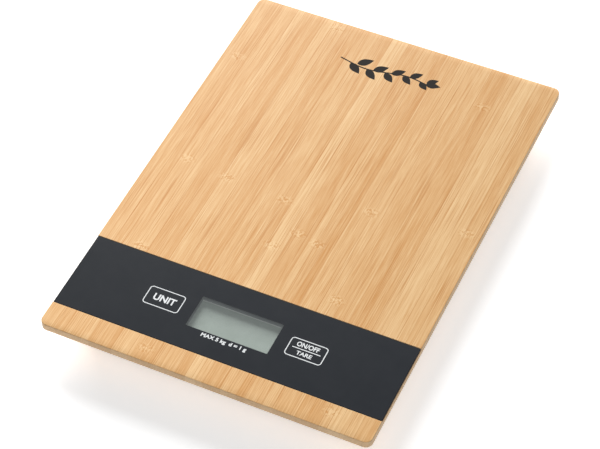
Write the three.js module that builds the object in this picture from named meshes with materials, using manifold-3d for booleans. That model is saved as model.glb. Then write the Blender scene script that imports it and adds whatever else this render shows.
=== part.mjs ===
// A slim digital kitchen scale, in millimetres, +Z up.
//
// A bamboo board is the weighing platform. A dark printed film with a clear display window is let into a
// shallow groove across its front, and two keys press through it. A plastic shell screwed to the board's
// underside holds the works: the display and its circuit board, a coin cell under a door, and four load
// cells, each with its own foot.
// The origin is on the table, at the centre of the board. The film is at the front, which is -Y.

import * as THREE from 'three';
import { mergeVertices } from 'three/addons/utils/BufferGeometryUtils.js';
import Module from 'manifold-3d';

const wasm = await Module();
wasm.setup();

// Driving dimensions.

const HEIGHT = 16; // table to weighing surface
const BOARD = { width: 160, depth: 225, thickness: 4, corner: 4, arris: 0.4 };
const PANEL = { depth: 41.6, thickness: 0.5, y: -78.5, endInset: 0.2, sideGap: 0.25, sink: 0.08 };
const WINDOW = { width: 40.4, depth: 17.8 }; // the well under the panel's clear window
const KEY_X = 35; // keys, left and right of the display
const SHELL = { width: 140, depth: 204, corner: 14, wall: 1.8, floor: 1.6, bottom: 3, edge: 2 };
const FOOT = { x: 57, y: 89, padRadius: 8, cupRadius: 9.4 };
const CELL_BAY = { x: 0, y: -20, width: 23, depth: 28 }; // coin cell compartment
const BATTERY = { radius: 10, thickness: 3.2 }; // 2032 coin cell
const FIT = 0.3; // gap between a loose part and its seat
const TOUCH = 0.02; // gap between faces that rest on each other
const FINE = 24; // sides of a large round
const COARSE = 12; // sides of a small round

// Levels above the table, worked out from the driving dimensions.

const boardTop = HEIGHT;
const boardUnder = HEIGHT - BOARD.thickness;
const panelUnder = boardTop - PANEL.thickness - PANEL.sink;
const grooveFloor = panelUnder - 0.18;
const shellTop = boardUnder - 0.05;
const shellFloor = SHELL.bottom + SHELL.floor;

// Geometry helpers. Each solid stands on z = 0, centred on x and y, until it is moved.

function slab(width, depth, height) {
  return new THREE.BoxGeometry(width, depth, height).translate(0, 0, height / 2);
}

function disc(radius, height, sides = COARSE) {
  const cylinder = new THREE.CylinderGeometry(radius, radius, height, sides);
  return cylinder.rotateX(Math.PI / 2).translate(0, 0, height / 2);
}

function turned(profile, sides = FINE) {
  const points = profile.map(([radius, z]) => new THREE.Vector2(radius, z));
  return new THREE.LatheGeometry(points, sides).rotateX(Math.PI / 2);
}

function roundedRectangle(width, depth, radius) {
  const [x, y] = [width / 2, depth / 2];
  const shape = new THREE.Shape();
  shape.absarc(x - radius, y - radius, radius, 0, Math.PI / 2);
  shape.absarc(radius - x, y - radius, radius, Math.PI / 2, Math.PI);
  shape.absarc(radius - x, radius - y, radius, Math.PI, 1.5 * Math.PI);
  shape.absarc(x - radius, radius - y, radius, 1.5 * Math.PI, 2 * Math.PI);
  return shape;
}

// A plate with rounded corners, and its top and bottom edges eased by edge.
function roundedPlate(width, depth, height, radius, edge = 0, edgeSteps = 1) {
  const options = { depth: height - 2 * edge, curveSegments: 6, bevelEnabled: edge > 0 };
  Object.assign(options, { bevelThickness: edge, bevelSize: edge, bevelOffset: -edge, bevelSegments: edgeSteps });
  return new THREE.ExtrudeGeometry(roundedRectangle(width, depth, radius), options).translate(0, 0, edge);
}

// A strip of sheet metal of one thickness that follows bends given as [x, z], width wide along y.
function bentStrip(bends, thickness, width) {
  const path = bends.map(([x, z]) => new THREE.Vector2(x, z));
  const sides = [1, -1].map((side) => path.map((point, i) => {
    const before = point.clone().sub(path[Math.max(i - 1, 0)]).normalize();
    const after = path[Math.min(i + 1, path.length - 1)].clone().sub(point).normalize();
    const along = before.add(after).normalize();
    const square = (i === 0 || i === path.length - 1) ? 1 : along.dot(after.lengthSq() ? after : along);
    const reach = (side * thickness) / 2 / square;
    return new THREE.Vector2(point.x - along.y * reach, point.y + along.x * reach);
  }));
  const shape = new THREE.Shape([...sides[0], ...sides[1].reverse()]);
  const strip = new THREE.ExtrudeGeometry(shape, { depth: width, bevelEnabled: false });
  return strip.rotateX(Math.PI / 2).translate(0, width / 2, 0);
}

// A round wire or lead of one diameter along a curve.
function wire(curve, diameter, steps, sides) {
  const section = new THREE.Shape();
  for (let i = 0; i < sides; i++) {
    const angle = (2 * Math.PI * i) / sides;
    const [x, y] = [Math.cos(angle) * diameter / 2, Math.sin(angle) * diameter / 2];
    if (i === 0) section.moveTo(x, y);
    else section.lineTo(x, y);
  }
  section.closePath();
  return new THREE.ExtrudeGeometry(section, { steps, extrudePath: curve, bevelEnabled: false });
}

// Joins and cuts.

function solid(geometry) {
  const bare = geometry.index ? geometry.toNonIndexed() : geometry.clone();
  bare.deleteAttribute('normal');
  bare.deleteAttribute('uv');
  const merged = mergeVertices(bare, 1e-4);
  const vertProperties = merged.attributes.position.array;
  const triVerts = new Uint32Array(merged.index.array);
  return new wasm.Manifold(new wasm.Mesh({ numProp: 3, vertProperties, triVerts }));
}

function shaped(body, { add = [], cut = [] }) {
  let result = solid(body);
  for (const piece of add) result = result.add(solid(piece));
  for (const piece of cut) result = result.subtract(solid(piece));
  const { vertProperties, triVerts } = result.getMesh();
  const geometry = new THREE.BufferGeometry();
  geometry.setAttribute('position', new THREE.BufferAttribute(new Float32Array(vertProperties), 3));
  geometry.setIndex(new THREE.BufferAttribute(triVerts, 1));
  geometry.computeVertexNormals();
  return geometry;
}

// Materials.

function finish(color, roughness, metalness = 0, more = {}) {
  return new THREE.MeshStandardMaterial({ color, roughness, metalness, ...more });
}

const bamboo = finish(0xe6bd88, 0.5);
const blackPrint = finish(0x24272c, 0.25);
const tapeGrey = finish(0xb9bcc0, 0.8);
const blackPlastic = finish(0x1b1c1e, 0.55);
const greyPlastic = finish(0x5c6064, 0.6);
const clearGlass = finish(0xcfd8d2, 0.08, 0, { transparent: true, opacity: 0.35 });
const displayFilm = finish(0xa3b2a5, 0.45);
const rubber = finish(0x2c2c2e, 0.85);
const zebraRubber = finish(0xc98f9d, 0.8);
const redPlastic = finish(0x8f2a22, 0.5);
const fibreglass = finish(0x1e5a37, 0.45);
const epoxy = finish(0x0d0d0e, 0.35);
const steel = finish(0xb4b7ba, 0.35, 1);
const nickel = finish(0xc9c6bd, 0.28, 1);
const silicone = finish(0xf0efea, 0.6);
const leadSleeve = finish(0x3a3b3e, 0.6);
const redLead = finish(0xa8231f, 0.5);
const blackLead = finish(0x151515, 0.5);

const scale = new THREE.Group();

function addPart(name, geometry, material, [x, y, z] = [0, 0, 0], group = scale) {
  const mesh = new THREE.Mesh(geometry, material);
  mesh.name = name;
  mesh.position.set(x, y, z);
  group.add(mesh);
  return mesh;
}

// Screws. The shell's six run up into the board, the circuit board's two into the display carrier.

const SHELL_SCREW = { head: 2.3, headHeight: 1.6, shank: 1.25, length: 4.7, slot: 2.6, slotWidth: 0.7 };
const BOARD_SCREW = { head: 1.9, headHeight: 1.3, shank: 0.95, length: 3.4, slot: 2.2, slotWidth: 0.6 };
const shellScrewPlaces = [[-62, -48], [62, -48], [-62, 48], [62, 48], [-22, 92], [22, 92]];
const shellScrewSeat = boardUnder - 2.1; // the heads bear upwards on this level

// A cross-head screw, its head's bearing face at z = 0 and its shank pointing up.
function crossHeadScrew({ head, headHeight, shank, length, slot, slotWidth }) {
  const ease = 0.3;
  const tip = 0.5;
  const body = turned([[0, -headHeight], [head - ease, -headHeight], [head, ease - headHeight], [head, 0],
    [shank, 0], [shank, length - tip], [shank - tip, length], [0, length]], COARSE);
  const recessDepth = 0.6 * headHeight;
  const slots = [slab(slot, slotWidth, recessDepth), slab(slotWidth, slot, recessDepth)];
  return shaped(body, { cut: slots.map((bar) => bar.translate(0, 0, -headHeight - TOUCH)) });
}

// The weighing board, with a groove across its front for the panel, a window and two key holes through it.

const windowCut = { width: 50, depth: 28 };
const keyHoleRadius = 5;

function bambooBoard() {
  const plate = roundedPlate(BOARD.width, BOARD.depth, BOARD.thickness, BOARD.corner, BOARD.arris, 2);
  const groove = slab(BOARD.width + 2, PANEL.depth + 2 * PANEL.sideGap, 2);
  const through = BOARD.thickness + 2;
  const opening = slab(windowCut.width, windowCut.depth, through);
  const keyHoles = [-KEY_X, KEY_X].map((x) => disc(keyHoleRadius, through, FINE).translate(x, PANEL.y, -1));
  const pilotDepth = SHELL_SCREW.length - (boardUnder - shellScrewSeat) + FIT;
  const pilots = shellScrewPlaces.map(([x, y]) => (
    disc(SHELL_SCREW.shank + 0.15, pilotDepth + 1).translate(x, y, -1)));
  return shaped(plate, {
    cut: [groove.translate(0, PANEL.y, grooveFloor - boardUnder), opening.translate(0, PANEL.y, -1),
      ...keyHoles, ...pilots],
  });
}

addPart('bamboo_board', bambooBoard(), bamboo, [0, 0, boardUnder]);

// The front panel: a clear polyester film, printed dark behind, held in the groove by a frame of thin tape.

const tape = { top: panelUnder - TOUCH, thickness: 0.14, margin: 1 };

function panelTape() {
  const width = BOARD.width - 2 * PANEL.endInset - 2 * tape.margin;
  const sheet = slab(width, PANEL.depth - 2 * tape.margin, tape.thickness);
  const opening = slab(WINDOW.width + 1, WINDOW.depth + 1, 1).translate(0, 0, -0.5);
  const keyHoles = [-KEY_X, KEY_X].map((x) => disc(4.4, 1).translate(x, 0, -0.5));
  return shaped(sheet, { cut: [opening, ...keyHoles] });
}

addPart('front_panel', slab(BOARD.width - 2 * PANEL.endInset, PANEL.depth, PANEL.thickness), blackPrint,
  [0, PANEL.y, panelUnder]);
addPart('panel_tape', panelTape(), tapeGrey, [0, PANEL.y, tape.top - tape.thickness]);

// The display carrier hangs under the board. Its rim comes up through the board's window round the display,
// and its two wells guide the keys. The circuit board is screwed to its two posts.

const circuit = { width: 84, depth: 34, thickness: 1.2, y: -77.5, top: 7.6 };
const circuitScrewPlaces = [[-39, -14], [39, 14]]; // from the circuit board's centre
const flange = { width: 86, depth: 36, thickness: 1.35 };
const flangeTop = boardUnder - 0.05;
const flangeUnder = flangeTop - flange.thickness;
const glass = { width: 44, depth: 23, thickness: 1.1, rearDepth: 18, top: 12.86 };
const film = 0.18; // polariser and reflector
const KEY_TRAVEL = 0.3;
const key = { radius: 3.6, footRadius: 2.4, footHeight: 1.2, ease: 0.3 };
const pushSwitch = { side: 6, height: 2.8, stemRadius: 1.7, stemLength: 3.2, stemTop: 12.6 };

function displayCarrier() {
  const rimHeight = tape.top - tape.thickness - TOUCH - flangeTop;
  const rim = slab(windowCut.width - 2 * FIT, windowCut.depth - 2 * FIT, rimHeight + 1);
  const fence = slab(glass.width + 3, glass.depth + 3, 1.6); // holds the glass from below the flange
  const wells = [-KEY_X, KEY_X].map((x) => (
    disc(keyHoleRadius - FIT, rimHeight + 1, FINE).translate(x, PANEL.y, flangeTop - 1)));
  const postHeight = flangeUnder - circuit.top - TOUCH + 0.5;
  const posts = circuitScrewPlaces.map(([x, y]) => (
    disc(2.5, postHeight).translate(x, circuit.y + y, circuit.top + TOUCH)));
  const pocketTop = glass.top + film + 3 * TOUCH;
  const pocket = slab(glass.width + 2 * FIT, glass.depth + 2 * FIT, pocketTop - 8);
  const opening = slab(WINDOW.width, WINDOW.depth, 10);
  const keyBores = [-KEY_X, KEY_X].map((x) => disc(key.radius + FIT, 10, FINE).translate(x, PANEL.y, 8));
  const screwBores = circuitScrewPlaces.map(([x, y]) => (
    disc(BOARD_SCREW.shank + 0.15, 3.8).translate(x, circuit.y + y, circuit.top - 1)));
  return shaped(slab(flange.width, flange.depth, flange.thickness).translate(0, circuit.y, flangeUnder), {
    add: [rim.translate(0, PANEL.y, flangeTop - 1), fence.translate(0, PANEL.y, flangeUnder - 1.5),
      ...wells, ...posts],
    cut: [pocket.translate(0, PANEL.y, 8), opening.translate(0, PANEL.y, 8), ...keyBores, ...screwBores],
  });
}

addPart('display_carrier', displayCarrier(), greyPlastic);

// The display: two glass plates between a front polariser and a rear reflector. The front plate overhangs
// the rear one, and a rubber contact strip under each overhang joins it to the circuit board.

const displayStack = [
  ['display_polariser', [glass.width - 1, glass.depth - 2, film], displayFilm, glass.top + TOUCH],
  ['display_front_glass', [glass.width, glass.depth, glass.thickness], clearGlass, glass.top - glass.thickness],
  ['display_rear_glass', [glass.width, glass.rearDepth, glass.thickness], clearGlass,
    glass.top - 2 * glass.thickness - TOUCH],
  ['display_reflector', [glass.width - 1, glass.rearDepth - 1, film], displayFilm,
    glass.top - 2 * glass.thickness - 2 * TOUCH - film],
];
for (const [name, size, material, z] of displayStack) {
  addPart(name, slab(...size), material, [0, PANEL.y, z]);
}

const stripHeight = glass.top - glass.thickness - circuit.top - 2 * TOUCH;
for (const [name, side] of [['contact_strip_front', -1], ['contact_strip_rear', 1]]) {
  const y = PANEL.y + side * (glass.depth / 2 - 1.2);
  addPart(name, slab(42, 1.8, stripHeight), zebraRubber, [0, y, circuit.top + TOUCH]);
}

// The circuit board and what is soldered to it.

function circuitBoard() {
  const holes = circuitScrewPlaces.map(([x, y]) => disc(1.2, 3).translate(x, y, -1));
  return shaped(roundedPlate(circuit.width, circuit.depth, circuit.thickness, 1.5), { cut: holes });
}

const circuitUnder = circuit.top - circuit.thickness;
const chipDome = [[0, -1.2], [3, -1.05], [5, -0.6], [6, 0], [0, 0]];

addPart('circuit_board', circuitBoard(), fibreglass, [0, circuit.y, circuitUnder]);
addPart('chip_cover', turned(chipDome, 24), epoxy, [12, circuit.y, circuitUnder - TOUCH]);
addPart('weighing_chip', slab(10, 6, 1.4), epoxy, [-12, circuit.y, circuitUnder - TOUCH - 1.4]);
addPart('filter_capacitor', slab(4, 7, 2.6), epoxy, [27.5, -86, circuit.top + TOUCH]);
circuitScrewPlaces.forEach(([x, y], i) => {
  addPart(`circuit_screw_${i + 1}`, crossHeadScrew(BOARD_SCREW), steel, [x, circuit.y + y, circuitUnder - TOUCH]);
});

// Under the film's two key marks a key stands in its well, on the stem of a push switch. Pressed through the
// film, the key and the stem go down together, and the stem slides in the switch's housing.

function switchHousing() {
  const boreFloor = pushSwitch.stemTop - pushSwitch.stemLength - KEY_TRAVEL - FIT;
  const bore = disc(pushSwitch.stemRadius + 0.1, pushSwitch.height, FINE);
  bore.translate(0, 0, boreFloor - circuit.top);
  return shaped(slab(pushSwitch.side, pushSwitch.side, pushSwitch.height), { cut: [bore] });
}

function keyPlunger() {
  const foot = pushSwitch.stemTop + TOUCH;
  const shoulder = foot + key.footHeight;
  const top = panelUnder - TOUCH;
  return turned([[0, foot], [key.footRadius, foot], [key.footRadius, shoulder], [key.radius, shoulder],
    [key.radius, top - key.ease], [key.radius - key.ease, top], [0, top]]);
}

for (const [name, side] of [['unit', -1], ['tare', 1]]) {
  const [x, y] = [side * KEY_X, PANEL.y];
  const stem = disc(pushSwitch.stemRadius, pushSwitch.stemLength, FINE);
  addPart(`${name}_switch_housing`, switchHousing(), blackPlastic, [x, y, circuit.top + TOUCH]);
  addPart(`${name}_switch_stem`, stem, redPlastic, [x, y, pushSwitch.stemTop - pushSwitch.stemLength]);
  addPart(`${name}_key`, keyPlunger(), greyPlastic, [x, y, 0]);
}

// The shell: a tray with a pod for each foot, a bay for the coin cell, screw bosses and ribs.

const pod = { outer: 12.5, inner: 11, top: 11.4 };
const footPlaces = [['front_left', -1, -1], ['front_right', 1, -1], ['rear_left', -1, 1], ['rear_right', 1, 1]];
const leadNotch = { width: 4.2, floor: 8.4 };
const bay = { wall: 2.85, roofUnder: 9, roofTop: 10.2, negativeTail: 9, positiveTail: -10.35 };
const scoop = { radius: 16, depth: 1, overlap: 2.5 }; // finger hollow behind the door
const door = { width: 25.8, depth: 30.8, thickness: SHELL.floor, tabX: 8, tabWidth: 5 };
const boss = { outer: 3.6, counterbore: 2.6, hole: 1.5 };

// The way that a foot's lead leaves its pod, as an angle: towards the middle of the scale.
function leadAngle(sideX, sideY) {
  return Math.atan2(-sideY, -sideX);
}

function shellTray() {
  const outside = roundedPlate(SHELL.width, SHELL.depth, 20, SHELL.corner, SHELL.edge, 3);
  const inset = 2 * SHELL.wall;
  const inside = roundedPlate(SHELL.width - inset, SHELL.depth - inset, 20, SHELL.corner - SHELL.wall, 1, 2);
  return shaped(outside.translate(0, 0, SHELL.bottom), {
    cut: [inside.translate(0, 0, shellFloor), slab(300, 300, 20).translate(0, 0, shellTop)],
  });
}

function footPods() {
  const add = [];
  const cut = [];
  for (const [, sideX, sideY] of footPlaces) {
    const [x, y] = [sideX * FOOT.x, sideY * FOOT.y];
    const notch = slab(6, leadNotch.width, 5).translate(pod.inner + 1, 0, leadNotch.floor);
    add.push(disc(pod.outer, pod.top - SHELL.bottom - 0.5, FINE).translate(x, y, SHELL.bottom + 0.5));
    cut.push(disc(pod.inner, 10, FINE).translate(x, y, shellFloor));
    cut.push(disc(FOOT.cupRadius + 0.4, 5, FINE).translate(x, y, SHELL.bottom - 1));
    cut.push(notch.rotateZ(leadAngle(sideX, sideY)).translate(x, y, 0));
  }
  return { add, cut };
}

function coinCellBay() {
  const { x, y, width, depth } = CELL_BAY;
  const block = slab(width + 2 * bay.wall, depth + 2 * bay.wall, bay.roofTop - SHELL.bottom - 0.5);
  const hollow = slab(width, depth, bay.roofUnder - SHELL.bottom);
  const doorway = slab(door.width + 2 * FIT, door.depth + 2 * FIT, SHELL.floor + 1);
  const tabSlots = [-1, 1].map((side) => (
    slab(door.tabWidth + 1, 8, 2.8).translate(x + side * door.tabX, y - depth / 2 - 2, shellFloor)));
  const tailSlots = [[bay.negativeTail, 4.8], [bay.positiveTail, 6.8]].map(([tailX, tailWidth]) => (
    slab(0.8, tailWidth, 3).translate(x + tailX, y, bay.roofUnder - 0.5)));
  const fingerHollow = new THREE.SphereGeometry(scoop.radius, 24, 24);
  fingerHollow.translate(x, y + door.depth / 2 + scoop.overlap, SHELL.bottom + scoop.depth - scoop.radius);
  return {
    add: [block.translate(x, y, SHELL.bottom + 0.5)],
    cut: [hollow.translate(x, y, SHELL.bottom), doorway.translate(x, y, SHELL.bottom - 1), fingerHollow,
      ...tabSlots, ...tailSlots],
  };
}

function screwBosses() {
  const add = shellScrewPlaces.map(([x, y]) => (
    disc(boss.outer, shellTop - shellFloor + 0.5, COARSE).translate(x, y, shellFloor - 0.5)));
  const cut = shellScrewPlaces.flatMap(([x, y]) => [
    disc(boss.counterbore, shellScrewSeat - SHELL.bottom + 1, COARSE).translate(x, y, SHELL.bottom - 1),
    disc(boss.hole, 10, COARSE).translate(x, y, shellScrewSeat - 1)]);
  return { add, cut };
}

function stiffeningRibs() {
  const rib = { thickness: 1.2, height: 2.9 };
  const across = [25, 62].map((y) => (
    slab(SHELL.width - 2, rib.thickness, rib.height).translate(0, y, shellFloor - 0.2)));
  const along = [-30, 30].map((x) => (
    slab(rib.thickness, 150, rib.height).translate(x, 27, shellFloor - 0.2)));
  return [...across, ...along];
}

function shell() {
  const features = [footPods(), coinCellBay(), screwBosses()];
  return shaped(shellTray(), {
    add: [...stiffeningRibs(), ...features.flatMap((feature) => feature.add)],
    cut: features.flatMap((feature) => feature.cut),
  });
}

addPart('bottom_shell', shell(), blackPlastic);
shellScrewPlaces.forEach(([x, y], i) => {
  addPart(`shell_screw_${i + 1}`, crossHeadScrew(SHELL_SCREW), steel, [x, y, shellScrewSeat - TOUCH]);
});

// The coin cell, its two contacts, and the door. The door's two tabs hook into the bay's front wall,
// and the door swings down about that edge. Its latch leg stands at the other edge.

const cellUnder = shellFloor + FIT;
const cellTop = cellUnder + BATTERY.thickness;

function coinCell() {
  const { radius, thickness } = BATTERY;
  const lip = 0.3;
  const capRadius = radius - 1.2;
  return turned([[0, 0], [radius - lip, 0], [radius, lip], [radius, thickness - 0.5], [capRadius, thickness - 0.4],
    [capRadius - 0.3, thickness], [0, thickness]]);
}

function doorPlate() {
  const { width, depth, thickness, tabX, tabWidth } = door;
  const front = -depth / 2;
  const innerFront = -CELL_BAY.depth / 2;
  const tabs = [-1, 1].flatMap((side) => [
    slab(tabWidth, 1.4, 1.4).translate(side * tabX, innerFront + 1, thickness - 0.1),
    slab(tabWidth, 4.2, 1.2).translate(side * tabX, front - 0.1, thickness + 0.1)]);
  const latchLeg = slab(10, 1, 3.5).translate(0, CELL_BAY.depth / 2 - 1.2, thickness - 0.1);
  const grip = [0, 1, 2].map((i) => slab(12, 0.8, 0.8).translate(0, depth / 2 - 2.5 - 1.8 * i, -0.4));
  return shaped(roundedPlate(width, depth, thickness, 1), { add: [...tabs, latchLeg], cut: grip });
}

addPart('coin_cell', coinCell(), nickel, [CELL_BAY.x, CELL_BAY.y, cellUnder]);
addPart('battery_door', doorPlate(), blackPlastic, [CELL_BAY.x, CELL_BAY.y, SHELL.bottom]);

const tailTop = 11;
const sheetMetal = 0.3;
const negativeBends = [[bay.negativeTail, tailTop], [bay.negativeTail, cellTop + 0.75], [1, cellTop + 0.3],
  [-4, cellTop + 0.4]];
const positiveBends = [[bay.positiveTail, tailTop], [bay.positiveTail, cellUnder + 0.4]];
addPart('negative_contact', bentStrip(negativeBends, sheetMetal, 4), nickel, [CELL_BAY.x, CELL_BAY.y, 0]);
addPart('positive_contact', bentStrip(positiveBends, sheetMetal, 6), nickel, [CELL_BAY.x, CELL_BAY.y, 0]);

// A foot: a rubber pad in a cup, whose boss presses the tongue of a load cell. A clamp ring holds the cell's
// rim down from the board, and the cup's flange is caught above the shell's floor. Everything in a foot
// unit is modelled about the foot's own centre, its lead leaving along +X.

const loadCell = { radius: 10.7, thickness: 1.2, under: 7.3, tongue: 3.2, slit: 1.2 };
const loadCellTop = loadCell.under + loadCell.thickness;
const clamp = { outer: 10.7, inner: 8.4 };

function footCup() {
  const flangeUnderside = shellFloor + FIT;
  const pocketTop = 1.8;
  const rim = 1;
  return turned([[0, pocketTop], [FOOT.padRadius + FIT, pocketTop], [FOOT.padRadius + FIT, rim],
    [FOOT.cupRadius - 0.5, rim], [FOOT.cupRadius, rim + 0.5], [FOOT.cupRadius, flangeUnderside],
    [pod.inner - FIT, flangeUnderside], [pod.inner - FIT, flangeUnderside + 1], [2.5, flangeUnderside + 1],
    [2.5, loadCell.under - TOUCH], [0, loadCell.under - TOUCH]]);
}

function footPad() {
  const radius = FOOT.padRadius;
  return turned([[0, 0], [radius - 0.5, 0], [radius, 0.5], [radius, 1.8 - TOUCH], [0, 1.8 - TOUCH]]);
}

function loadCellPlate() {
  const { radius, thickness, tongue, slit } = loadCell;
  const slits = [-1, 1].map((side) => slab(11, slit, 3).translate(0, side * (tongue + slit / 2), -1));
  const end = slab(slit, 2 * (tongue + slit), 3).translate(-5.5, 0, -1);
  return shaped(disc(radius, thickness, FINE), { cut: [...slits, end] });
}

function clampRing() {
  const height = shellTop - loadCellTop - 2 * TOUCH;
  const bore = disc(clamp.inner, height + 2, FINE).translate(0, 0, -1);
  const notch = slab(6, leadNotch.width, 2.6).translate(clamp.outer - 1, 0, -0.1);
  return shaped(disc(clamp.outer, height, FINE), { cut: [bore, notch] });
}

const gaugeBlob = [[0, 0], [2, 0], [1.8, 0.5], [1.1, 0.8], [0, 0.9]];

for (const [place, sideX, sideY] of footPlaces) {
  const unit = new THREE.Group();
  unit.position.set(sideX * FOOT.x, sideY * FOOT.y, 0);
  unit.rotation.z = leadAngle(sideX, sideY);
  scale.add(unit);
  addPart(`foot_pad_${place}`, footPad(), rubber, [0, 0, 0], unit);
  addPart(`foot_cup_${place}`, footCup(), blackPlastic, [0, 0, 0], unit);
  addPart(`load_cell_${place}`, loadCellPlate(), steel, [0, 0, loadCell.under], unit);
  addPart(`clamp_ring_${place}`, clampRing(), greyPlastic, [0, 0, loadCellTop + TOUCH], unit);
  addPart(`strain_gauge_${place}`, turned(gaugeBlob, COARSE), silicone, [4, 0, loadCellTop + TOUCH], unit);
}

// Leads. Each load cell's three wires run in one sleeve from its pod to the circuit board.
// Points are for the right-hand side; the left-hand side mirrors them.

const leadRoutes = {
  front: [[52.3, -84.3, 9.7], [49, -81, 9.7], [46, -77.5, 9.3], [42, -74, 9], [38.5, -72, 8.8]],
  rear: [[52.3, 84.3, 9.7], [47, 79, 9.7], [42, 70, 9.2], [40.5, 45, 9], [40.5, 0, 9], [40.5, -35, 9],
    [37, -50, 9.1], [31, -58, 9], [29, -63, 8.8]],
};
const batteryLeads = [
  ['battery_lead_negative', blackLead, [[9, -22.9, 10.9], [8.5, -28, 11], [9, -40, 10.8], [10, -52, 9.8],
    [10.5, -62.5, 8.4]]],
  ['battery_lead_positive', redLead, [[-10.35, -23.9, 10.9], [-10, -29, 11], [-9.5, -40, 10.8], [-9, -52, 9.8],
    [-8.5, -62.5, 8.4]]],
];

function lead(points, diameter, steps) {
  const curve = new THREE.CatmullRomCurve3(points.map((point) => new THREE.Vector3(...point)));
  return wire(curve, diameter, steps, 8);
}

for (const [place, sideX, sideY] of footPlaces) {
  const [route, steps] = sideY < 0 ? [leadRoutes.front, 7] : [leadRoutes.rear, 22];
  const points = route.map(([x, y, z]) => [sideX * x, y, z]);
  addPart(`load_cell_lead_${place}`, lead(points, 2, steps), leadSleeve);
}
for (const [name, material, points] of batteryLeads) {
  addPart(name, lead(points, 1.2, 12), material);
}

export default scale;
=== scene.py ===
# A slim kitchen scale: a bamboo weighing board with a dark printed film across its front, and a plastic shell
# with four load-cell feet beneath it. Everything is in metres, standing on z = 0 with the film towards -Y.
import math

import bmesh
import bpy
from mathutils import Matrix, Vector


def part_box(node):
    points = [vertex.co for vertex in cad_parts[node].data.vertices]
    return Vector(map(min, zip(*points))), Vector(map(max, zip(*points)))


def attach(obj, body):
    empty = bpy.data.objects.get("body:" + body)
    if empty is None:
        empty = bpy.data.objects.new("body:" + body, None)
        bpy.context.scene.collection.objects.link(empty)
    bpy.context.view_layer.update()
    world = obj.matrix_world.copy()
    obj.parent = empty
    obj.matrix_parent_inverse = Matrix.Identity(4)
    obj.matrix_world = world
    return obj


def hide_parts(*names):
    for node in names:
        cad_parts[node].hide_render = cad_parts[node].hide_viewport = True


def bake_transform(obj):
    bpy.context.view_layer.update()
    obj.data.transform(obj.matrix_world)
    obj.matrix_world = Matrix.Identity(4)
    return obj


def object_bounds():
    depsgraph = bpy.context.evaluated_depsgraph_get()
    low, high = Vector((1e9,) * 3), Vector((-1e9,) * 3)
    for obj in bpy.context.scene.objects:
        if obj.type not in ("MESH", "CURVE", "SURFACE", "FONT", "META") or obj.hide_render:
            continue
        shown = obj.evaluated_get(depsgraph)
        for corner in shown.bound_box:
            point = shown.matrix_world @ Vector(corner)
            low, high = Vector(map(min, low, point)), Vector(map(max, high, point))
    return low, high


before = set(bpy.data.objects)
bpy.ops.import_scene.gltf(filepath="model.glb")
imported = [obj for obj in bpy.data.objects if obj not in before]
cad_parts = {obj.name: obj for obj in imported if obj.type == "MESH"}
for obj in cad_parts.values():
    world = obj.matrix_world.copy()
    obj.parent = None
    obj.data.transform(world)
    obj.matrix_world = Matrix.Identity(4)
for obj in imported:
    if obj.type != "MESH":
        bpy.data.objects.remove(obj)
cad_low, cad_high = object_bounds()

MM = 0.001


# The camera stands in front, to the right of and well above the scale, as someone at the worktop would.
# It is a long lens a metre away, tipped a little anticlockwise.
CAMERA_AZIMUTH = math.radians(27.19)
CAMERA_ELEVATION = math.radians(49.51)
CAMERA_ROLL = math.radians(-2.59)
CAMERA_DISTANCE = 0.9968
CAMERA_LENS = 131.22
board_top = cad_high.z
aim = Vector((1.5 * MM, -14.6 * MM, board_top))

away = Vector((math.sin(CAMERA_AZIMUTH) * math.cos(CAMERA_ELEVATION),
               -math.cos(CAMERA_AZIMUTH) * math.cos(CAMERA_ELEVATION), math.sin(CAMERA_ELEVATION)))
camera = bpy.data.objects.new("camera", bpy.data.cameras.new("camera"))
camera.data.lens = CAMERA_LENS
camera.data.sensor_width = 36
camera.data.clip_start = 0.01
camera.matrix_world = (Matrix.Translation(aim + away * CAMERA_DISTANCE)
                       @ away.to_track_quat("Z", "Y").to_matrix().to_4x4()
                       @ Matrix.Rotation(CAMERA_ROLL, 4, "Z"))
bpy.context.scene.collection.objects.link(camera)
bpy.context.scene.camera = camera


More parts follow.
